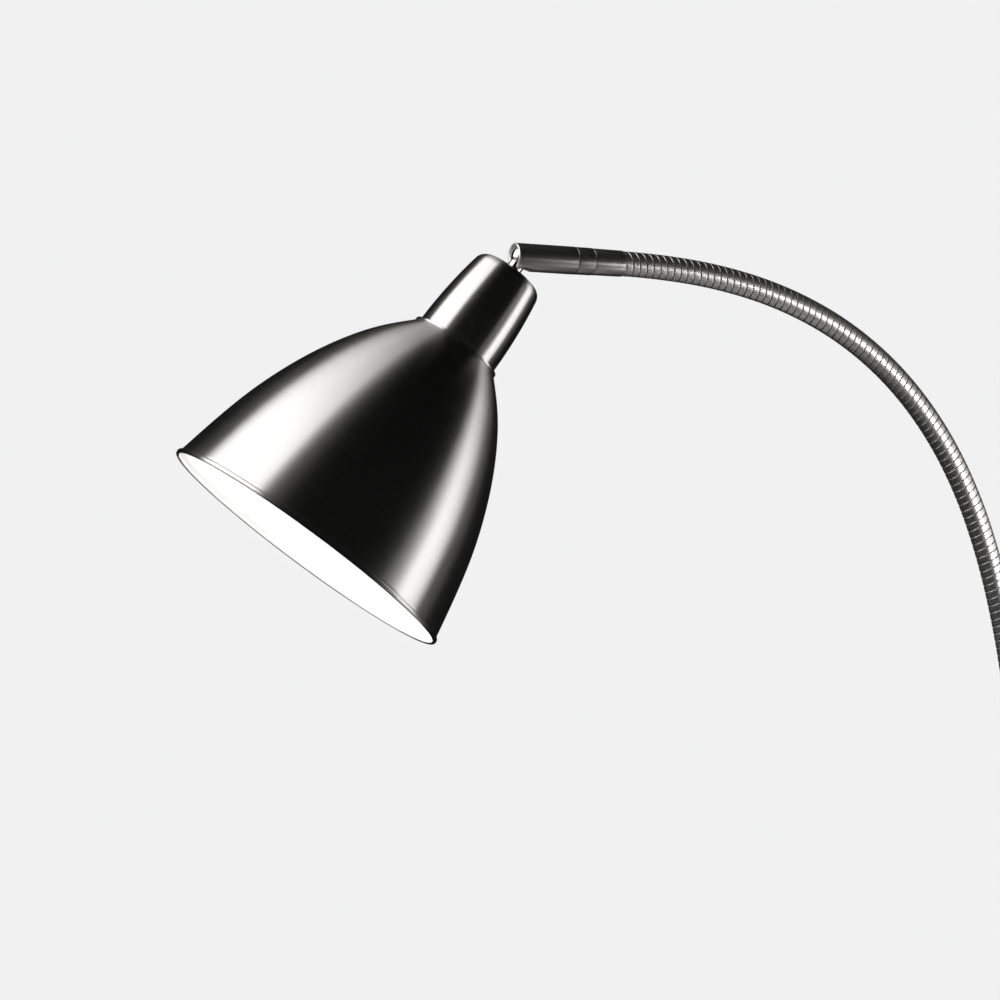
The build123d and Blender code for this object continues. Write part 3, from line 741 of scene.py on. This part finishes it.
def rib_tree():
    """Wound rib surface along a path: a grid whose rows follow the strips' own helix."""
    t = Tree("wound ribs")
    t.input("Path", "NodeSocketObject")
    for label in (
        "Length",
        "Radius",
        "Groove depth",
        "Crown",
        "Rib pitch",
        "Groove floor",
        "Groove mouth",
        "From",
        "To",
    ):
        t.input(label, "NodeSocketFloat")
    t.input("Rows", "NodeSocketInt")
    t.tree.interface.new_socket("Geometry", in_out="OUTPUT", socket_type="NodeSocketGeometry")
    given = t.node("NodeGroupInput").outputs

    grid = t.node("GeometryNodeMeshGrid")
    grid.inputs["Size X"].default_value = 1.0
    grid.inputs["Size Y"].default_value = 1.0
    t.join(given["Rows"], grid.inputs["Vertices X"])
    grid.inputs["Vertices Y"].default_value = NECK_SIDES + 1
    place = t.node("ShaderNodeSeparateXYZ")
    t.join(t.node("GeometryNodeInputPosition").outputs[0], place.inputs[0])
    last_row = t.math("SUBTRACT", given["Rows"], 1.0)
    row = t.math("MULTIPLY", t.math("ADD", place.outputs["X"], 0.5), last_row)
    rib = t.math("SUBTRACT", t.math("DIVIDE", row, float(STATIONS_PER_RIB)), float(NECK_STARTS))
    turn = t.math("ADD", place.outputs["Y"], 0.5)

    # Rows crowd towards each groove, where the surface turns most.
    crowd = t.math("SINE", t.math("MULTIPLY", rib, 2 * math.pi))
    rib = t.math("SUBTRACT", rib, t.math("MULTIPLY", crowd, CROWDING / (2 * math.pi)))
    wound = t.math("ADD", rib, t.math("MULTIPLY", turn, float(NECK_STARTS)))
    along = t.math("MULTIPLY", wound, given["Rib pitch"])
    along = t.math("MINIMUM", t.math("MAXIMUM", along, 0.0), given["Length"])

    fold = t.math("PINGPONG", t.math("ADD", rib, WHOLE_RIBS), 0.5)
    from_groove = t.math("MULTIPLY", fold, given["Rib pitch"])
    mouth = given["Groove mouth"]
    wall = t.ramp(from_groove, given["Groove floor"], mouth, 0.0, given["Groove depth"])
    crown_to = t.math("MULTIPLY", mouth, CROWN_SPAN)
    crown = t.ramp(from_groove, mouth, crown_to, 0.0, given["Crown"])
    low = t.math("SUBTRACT", t.math("SUBTRACT", given["Radius"], given["Groove depth"]), given["Crown"])
    out = t.math("ADD", low, t.math("ADD", wall, crown))

    info = t.node("GeometryNodeObjectInfo", transform_space="ORIGINAL")
    t.join(given["Path"], info.inputs["Object"])
    sample = t.node("GeometryNodeSampleCurve", mode="LENGTH")
    t.join(info.outputs["Geometry"], sample.inputs["Curves"])
    t.join(along, sample.inputs["Length"])
    beside = t.vector("CROSS_PRODUCT", sample.outputs["Tangent"], sample.outputs["Normal"])
    angle = t.math("MULTIPLY", turn, 2 * math.pi)
    spoke = t.vector(
        "ADD",
        t.vector("SCALE", sample.outputs["Normal"], scale=t.math("COSINE", angle)),
        t.vector("SCALE", beside, scale=t.math("SINE", angle)),
    )
    spot = t.vector("ADD", sample.outputs["Position"], t.vector("SCALE", spoke, scale=out))

    keep = t.node("GeometryNodeCaptureAttribute", domain="POINT")
    keep.capture_items.new("FLOAT", "Along")
    keep.capture_items.new("FLOAT", "Turn")
    t.join(grid.outputs["Mesh"], keep.inputs["Geometry"])
    t.join(along, keep.inputs["Along"])
    t.join(turn, keep.inputs["Turn"])
    move = t.node("GeometryNodeSetPosition")
    t.join(keep.outputs["Geometry"], move.inputs["Geometry"])
    t.join(spot, move.inputs["Position"])

    marks = t.node("ShaderNodeCombineXYZ")
    t.join(keep.outputs["Along"], marks.inputs["X"])
    t.join(keep.outputs["Turn"], marks.inputs["Y"])
    store = t.node("GeometryNodeStoreNamedAttribute", data_type="FLOAT2", domain="CORNER")
    store.inputs["Name"].default_value = "UVMap"
    t.join(move.outputs["Geometry"], store.inputs["Geometry"])
    t.join(marks.outputs[0], store.inputs["Value"])

    trim = t.node("GeometryNodeDeleteGeometry", domain="FACE")
    before = t.math("LESS_THAN", keep.outputs["Along"], given["From"])
    beyond = t.math("GREATER_THAN", keep.outputs["Along"], given["To"])
    t.join(store.outputs["Geometry"], trim.inputs["Geometry"])
    t.join(t.math("MAXIMUM", before, beyond), trim.inputs["Selection"])
    weld = t.node("GeometryNodeMergeByDistance")
    weld.inputs["Distance"].default_value = WELD
    smooth = t.node("GeometryNodeSetShadeSmooth")
    real = t.node("GeometryNodeRealizeInstances")
    paint = t.node("GeometryNodeSetMaterial")
    paint.inputs["Material"].default_value = neck_steel
    shown = trim.outputs["Geometry"]
    for node in (weld, smooth, real, paint):
        t.join(shown, node.inputs["Geometry"])
        shown = node.outputs["Geometry"]
    t.join(shown, t.node("NodeGroupOutput").inputs[0])
    return t


neck_line, neck_points = neck_path()
neck_bodies = ["stand"] + [joint["child"] for joint in neck_joints]
neck_len = link_len * len(neck_bodies)
ribs = rib_tree()
rib_rows = STATIONS_PER_RIB * (round(neck_len / rib_pitch) + 2 * NECK_STARTS) + 1
for index, body in enumerate(neck_bodies):
    low = index * link_len
    length = bpy.data.objects.new(f"neck_length_{index + 1:02d}", bpy.data.meshes.new("neck_length"))
    bpy.context.scene.collection.objects.link(length)
    wind = length.modifiers.new("ribs", "NODES")
    wind.node_group = ribs.tree
    for label, value in (
        ("Path", neck_line),
        ("Length", neck_len),
        ("Radius", hose_r),
        ("Groove depth", groove_depth),
        ("Crown", rib_crown),
        ("Rib pitch", rib_pitch),
        ("Groove floor", groove_floor),
        ("Groove mouth", groove_mouth),
        ("From", low),
        ("To", low + link_len),
        ("Rows", rib_rows),
    ):
        wind[ribs.ids[label]] = value
    wound = bpy.data.meshes.new_from_object(
        length.evaluated_get(bpy.context.evaluated_depsgraph_get())
    )
    length.modifiers.remove(wind)
    length.data = wound
    stands_for(length, body, f"neck_link_{index + 1:02d}")

# A round nose in each joint of the neck fills the gap that a bend opens between two lengths.
nose_r = 5.9 * MM
nose_bore_r = 3.0 * MM
round_face = [
    Vector((nose_r * math.cos(turn), nose_r * math.sin(turn)))
    for turn in (math.radians(degrees) for degrees in range(-48, 49, 8))
]
nose_bore = [Vector((nose_bore_r, point.y)) for point in (round_face[-1], round_face[0])]
for index, (pivot, body) in enumerate(zip(neck_pivots, neck_bodies[1:])):
    middle = round((index + 1) * link_len / MM)
    ahead = (neck_points[middle + 1] - neck_points[middle - 1]).normalized()
    nose = turned(
        f"neck_nose_{index + 1:02d}",
        round_face + nose_bore,
        pivot,
        ahead,
        [neck_steel],
        steps=48,
    )
    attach(nose, body)
bpy.data.objects.remove(neck_line)

# ---------------------------------------------------------------- pole
UP = Vector((0, 0, 1))
FLOOR = Vector((0, 0, 0))
pole_wall = 1.2 * MM
pole_bore_r = pole_r - pole_wall
pole_rounding = 0.25 * MM
for label in ("pole_lower", "pole_middle", "pole_upper"):
    low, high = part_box(label)
    part = turned(
        label + "_part",
        rounded(
            [
                (pole_bore_r, low.z, 0),
                (pole_r, low.z, pole_rounding),
                (pole_r, high.z, pole_rounding),
                (pole_bore_r, high.z, 0),
            ]
        ),
        FLOOR,
        UP,
        [pole_steel],
    )
    stands_for(part, "stand", label)

socket_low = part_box("neck_socket")[0]
mouth_z = neck_foot.z
plug_r = pole_bore_r - 0.05 * MM
mouth_r = hose_r + 0.8 * MM
mouth_rounding = 0.4 * MM
taper_len = 12 * MM
taper_rounding = 4 * MM
socket = turned(
    "neck_socket_piece",
    rounded(
        [
            (hose_bore_r, socket_low.z, 0),
            (plug_r, socket_low.z, 0),
            (plug_r, pole_top, 0),
            (pole_r, pole_top, pole_rounding),
            (pole_r, mouth_z - taper_len, taper_rounding),
            (mouth_r, mouth_z, mouth_rounding),
            (hose_bore_r, mouth_z, 0),
        ]
    ),
    FLOOR,
    UP,
    [pole_steel],
)
stands_for(socket, "stand", "neck_socket")

collar_low, collar_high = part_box("pole_collar")
collar_bore_r = pole_r + 0.05 * MM
collar_slope = 2 * MM
collar_rounding = 0.8 * MM
collar_foot_rounding = 0.2 * MM
collar = turned(
    "foot_collar",
    rounded(
        [
            (collar_bore_r, collar_low.z, 0),
            (collar_high.y, collar_low.z, collar_foot_rounding),
            (collar_high.y, collar_high.z - collar_slope, collar_rounding),
            (collar_high.y - collar_slope, collar_high.z, collar_rounding),
            (collar_bore_r, collar_high.z, 0),
        ]
    ),
    FLOOR,
    UP,
    [pole_steel],
)
stands_for(collar, "stand", "pole_collar")

# ---------------------------------------------------------------- base
cover_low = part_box("base_cover")[0]
cover_wall = 1.2 * MM
cover_hole_r = 5.3 * MM
edge_r = 6 * MM


def cover_edge(radius, degrees):
    """Arc of the cover's top edge, at a radius from the middle of its rounding."""
    middle_r = base_r - edge_r
    middle_z = base_top - edge_r
    return [
        Vector((middle_r + radius * math.cos(turn), middle_z + radius * math.sin(turn)))
        for turn in map(math.radians, degrees)
    ]


cover_outline = [Vector((base_r, cover_low.z))]
cover_outline += cover_edge(edge_r, range(0, 91, 9))
cover_outline += [Vector((cover_hole_r, base_top)), Vector((cover_hole_r, base_top - cover_wall))]
cover_outline += cover_edge(edge_r - cover_wall, range(90, -1, -9))
cover_outline += [Vector((base_r - cover_wall, cover_low.z))]
cover = turned("base_cover_piece", cover_outline, FLOOR, UP, [pole_steel], steps=256)
stands_for(cover, "stand", "base_cover")

# ---------------------------------------------------------------- bulb
bulb_r = 30 * MM
glass_wall = 0.8 * MM
bulb_tip = cap_top + 130.0 * MM
bulb_centre = bulb_tip - bulb_r
bulb_neck_r = 12.6 * MM
throat_start = cap_top + 45.0 * MM
throat_end = cap_top + 53.0 * MM
flare_side = math.radians(50)
FLARE_PULL = 0.4  # of the distance from throat to globe: how gently the flare bends


def globe(radius, neck_r, steps=40):
    """Outline of the bulb's glass, from the throat to the tip."""
    start = Vector((radius * math.sin(flare_side), bulb_centre - radius * math.cos(flare_side)))
    flare_way = Vector((math.cos(flare_side), math.sin(flare_side)))
    neck = Vector((neck_r, throat_end))
    pull = (start - neck).length * FLARE_PULL
    points = [Vector((neck_r, throat_start))]
    points += bezier(neck, neck + Vector((0, pull)), start - flare_way * pull, start, steps=16)
    for step in range(1, steps + 1):
        turn = flare_side + (math.pi - flare_side) * step / steps
        points.append(Vector((radius * math.sin(turn), bulb_centre - radius * math.cos(turn))))
    points[-1].x = 0.0
    return points


bulb_outline = globe(bulb_r, bulb_neck_r)
bulb_outline += globe(bulb_r - glass_wall, bulb_neck_r - glass_wall)[::-1]
bulb = turned("bulb_glass_piece", bulb_outline, ball_centre, stem_way, [lit_glass])
stands_for(bulb, "head", "bulb_glass")

# ---------------------------------------------------------------- solids shown as they are
SHOWN_SOLIDS = {
    "satin_steel": pole_steel,
    "shade_steel": zinc_steel,
    "neck_steel": neck_steel,
    "polished_steel": bright_steel,
    "hardware_steel": zinc_steel,
    "base_iron": bare_iron,
    "foot_foam": foot_foam,
    "black_plastic": black_plastic,
    "seat_plastic": seat_plastic,
    "brass": plain_brass,
    "bulb_cap_metal": cap_aluminium,
    "bulb_glass": lit_glass,
}
slot_of = {part["node"]: part["material_slot"] for part in record["subparts"]}
for name, solid in nodes.items():
    solid.data.materials.clear()
    solid.data.materials.append(SHOWN_SOLIDS[slot_of[name]])
    solid.data.shade_smooth()
    solid.data.set_sharp_from_angle(angle=SOLID_SHARP)

# ---------------------------------------------------------------- floor, background and light
floor_r = 2.2
fade_from = 1.1
fade_to = floor_r * 0.97
floor_mesh = bmesh.new()
bmesh.ops.create_circle(floor_mesh, cap_ends=True, segments=96, radius=floor_r)
PALE = (0.88, 0.88, 0.885)
floor_finish, floor_tree, floor_shader = new_finish("pale floor")
floor_shader.inputs["Base Color"].default_value = (*PALE, 1)
floor_shader.inputs["Roughness"].default_value = 0.7
place = floor_tree.nodes.new("ShaderNodeTexCoord")
reach = floor_tree.nodes.new("ShaderNodeVectorMath")
reach.operation = "LENGTH"
fade = floor_tree.nodes.new("ShaderNodeMapRange")
fade.interpolation_type = "SMOOTHSTEP"
fade.inputs["From Min"].default_value = fade_from
fade.inputs["From Max"].default_value = fade_to
clear = floor_tree.nodes.new("ShaderNodeBsdfTransparent")
mixed = floor_tree.nodes.new("ShaderNodeMixShader")
floor_tree.links.new(place.outputs["Object"], reach.inputs[0])
floor_tree.links.new(reach.outputs["Value"], fade.inputs["Value"])
floor_tree.links.new(fade.outputs[0], mixed.inputs["Fac"])
floor_tree.links.new(floor_shader.outputs[0], mixed.inputs[1])
floor_tree.links.new(clear.outputs[0], mixed.inputs[2])
floor_tree.links.new(mixed.outputs[0], floor_tree.nodes["Material Output"].inputs["Surface"])
floor = finished("floor", floor_mesh, [floor_finish])

# The room lights the lamp evenly, and looks like the floor where it is seen.
ROOM_LIGHT = 0.45
world = bpy.data.worlds.new("studio")
bpy.context.scene.world = world
world.use_nodes = True
new_node = world.node_tree.nodes.new
new_link = world.node_tree.links.new
lit = world.node_tree.nodes["Background"]
lit.inputs["Color"].default_value = (1, 1, 1, 1)
lit.inputs["Strength"].default_value = ROOM_LIGHT
seen = new_node("ShaderNodeBackground")
seen.inputs["Color"].default_value = (*PALE, 1)
seen.inputs["Strength"].default_value = 1.0
ray = new_node("ShaderNodeLightPath")
sees_room = ray.outputs["Is Camera Ray"]
for kind in ("Is Glossy Ray", "Is Transmission Ray"):
    either = new_node("ShaderNodeMath")
    either.operation = "MAXIMUM"
    new_link(sees_room, either.inputs[0])
    new_link(ray.outputs[kind], either.inputs[1])
    sees_room = either.outputs[0]
choose = new_node("ShaderNodeMixShader")
new_link(sees_room, choose.inputs["Fac"])
new_link(lit.outputs[0], choose.inputs[1])
new_link(seen.outputs[0], choose.inputs[2])
new_link(choose.outputs[0], world.node_tree.nodes["World Output"].inputs["Surface"])

# The softboxes and the black flags stand round the shade's own axis. Angles go round it from the
# side that faces the camera, positive towards the right of the picture. Lengths along it are taken
# from the shade's middle, positive towards its rim.
CAMERA_TURN = math.radians(25.0)
CAMERA_PITCH = math.radians(-0.8)
view_way = Vector(
    (
        math.sin(CAMERA_TURN) * math.cos(CAMERA_PITCH),
        math.cos(CAMERA_TURN) * math.cos(CAMERA_PITCH),
        math.sin(CAMERA_PITCH),
    )
)
shade_middle = ball_centre + stem_way * 110 * MM
facing = (-view_way - stem_way * -view_way.dot(stem_way)).normalized()
rightward = facing.cross(stem_way)
if rightward.dot(Vector((math.cos(CAMERA_TURN), -math.sin(CAMERA_TURN), 0))) < 0:
    rightward = -rightward
FLAG_R = 1.3  # metres from the shade's axis


def round_shade(angle):
    """Way out from the shade's axis, at an angle in degrees."""
    return facing * math.cos(math.radians(angle)) + rightward * math.sin(math.radians(angle))


def softbox(name, angle, distance, width, length, shift, brightness):
    """Area light that faces the shade's axis, moved along it by shift."""
    lamp = bpy.data.lights.new(name, "AREA")
    lamp.shape = "RECTANGLE"
    lamp.size = width
    lamp.size_y = length
    lamp.energy = brightness * math.pi * width * length
    holder = bpy.data.objects.new(name, lamp)
    out = round_shade(angle)
    holder.location = shade_middle + out * distance + stem_way * shift
    holder.rotation_euler = Matrix((stem_way.cross(out), stem_way, out)).transposed().to_euler()
    bpy.context.scene.collection.objects.link(holder)
    holder.visible_camera = False
    return holder


def curved_flag(name, start, end, low, high, steps=24, capped=False):
    """Black studio flag bent round the shade's axis: only reflections see it."""
    mesh = bmesh.new()
    rows = []
    for step in range(steps + 1):
        out = round_shade(start + (end - start) * step / steps)
        foot = shade_middle + out * FLAG_R
        rows.append([mesh.verts.new(foot + stem_way * low), mesh.verts.new(foot + stem_way * high)])
    for before, after in zip(rows, rows[1:]):
        mesh.faces.new([before[0], before[1], after[1], after[0]])
    if capped:
        mesh.faces.new([row[0] for row in rows])
    panel = finished(name, mesh, [flag_black])
    for seen_by in ("camera", "diffuse", "transmission", "volume_scatter", "shadow"):
        setattr(panel, "visible_" + seen_by, False)
    return panel


def neck_light(out, distance, width, brightness, spread):
    """Small area light with a narrow beam towards the neck."""
    lamp = bpy.data.lights.new("neck light", "AREA")
    lamp.size = width
    lamp.spread = math.radians(spread)
    lamp.energy = brightness * math.pi * width**2
    holder = bpy.data.objects.new("neck light", lamp)
    target = neck_end + Vector((230, 0, -90)) * MM
    holder.location = target + Vector(out).normalized() * distance
    holder.rotation_euler = Vector(out).to_track_quat("Z", "Y").to_euler()
    bpy.context.scene.collection.objects.link(holder)
    holder.visible_camera = False


neck_light(out=(0.38, -0.90, -0.22), distance=0.62, width=0.2, brightness=1.1, spread=34)
softbox(
    "left softbox",
    angle=-80,
    distance=1.6,
    width=2.6,
    length=2.6,
    shift=0.2,
    brightness=1.5,
)
right_softbox = softbox(
    "right softbox",
    angle=92,
    distance=1.6,
    width=1.26,
    length=2.0,
    shift=-0.8,
    brightness=1.5,
)
right_softbox.visible_diffuse = False

# The flags are one black drum round the whole lamp, closed at both ends, with two open slots.
# Reflections see the softboxes through the slots. The right slot is the shorter one.
LEFT_SLOT = (-107.5, -49)
RIGHT_SLOT = (78, 102)
ALL_ROUND = (0, 359.9)
FAR_ABOVE = -3.9
FAR_BELOW = 0.9
SLOT_TOP = -1.46
RIGHT_SLOT_FOOT = 0.195
CAP_RIM = 0.01
curved_flag("front flag", LEFT_SLOT[1], RIGHT_SLOT[0], FAR_ABOVE, FAR_BELOW)
curved_flag("back flag", RIGHT_SLOT[1], LEFT_SLOT[0] + 360, FAR_ABOVE, FAR_BELOW)
curved_flag("end flag", *ALL_ROUND, FAR_ABOVE, FAR_ABOVE + CAP_RIM, steps=48, capped=True)
curved_flag("left top flag", *LEFT_SLOT, FAR_ABOVE, SLOT_TOP)
curved_flag("right top flag", *RIGHT_SLOT, FAR_ABOVE, SLOT_TOP)
curved_flag("right low flag", *RIGHT_SLOT, RIGHT_SLOT_FOOT, FAR_BELOW)
curved_flag("low end flag", *ALL_ROUND, FAR_BELOW, FAR_BELOW + CAP_RIM, steps=48, capped=True)

# ---------------------------------------------------------------- camera
HEAD_TO_CAMERA = Vector((-775.8, -1515.7, -98.7)) * MM  # from where the neck meets its ferrule
FOCAL_PIXELS = 3281.0
IMAGE_PIXELS = 1000
camera = bpy.data.cameras.new("camera")
camera.sensor_width = 36.0
camera.sensor_fit = "HORIZONTAL"
camera.lens = camera.sensor_width * FOCAL_PIXELS / IMAGE_PIXELS
camera.clip_start = 0.05
camera.clip_end = 50
viewpoint = bpy.data.objects.new("camera", camera)
viewpoint.location = neck_end + HEAD_TO_CAMERA
viewpoint.rotation_euler = (math.radians(90) + CAMERA_PITCH, 0, -CAMERA_TURN)
bpy.context.scene.collection.objects.link(viewpoint)
bpy.context.scene.camera = viewpoint
bpy.context.scene.view_settings.view_transform = "Standard"
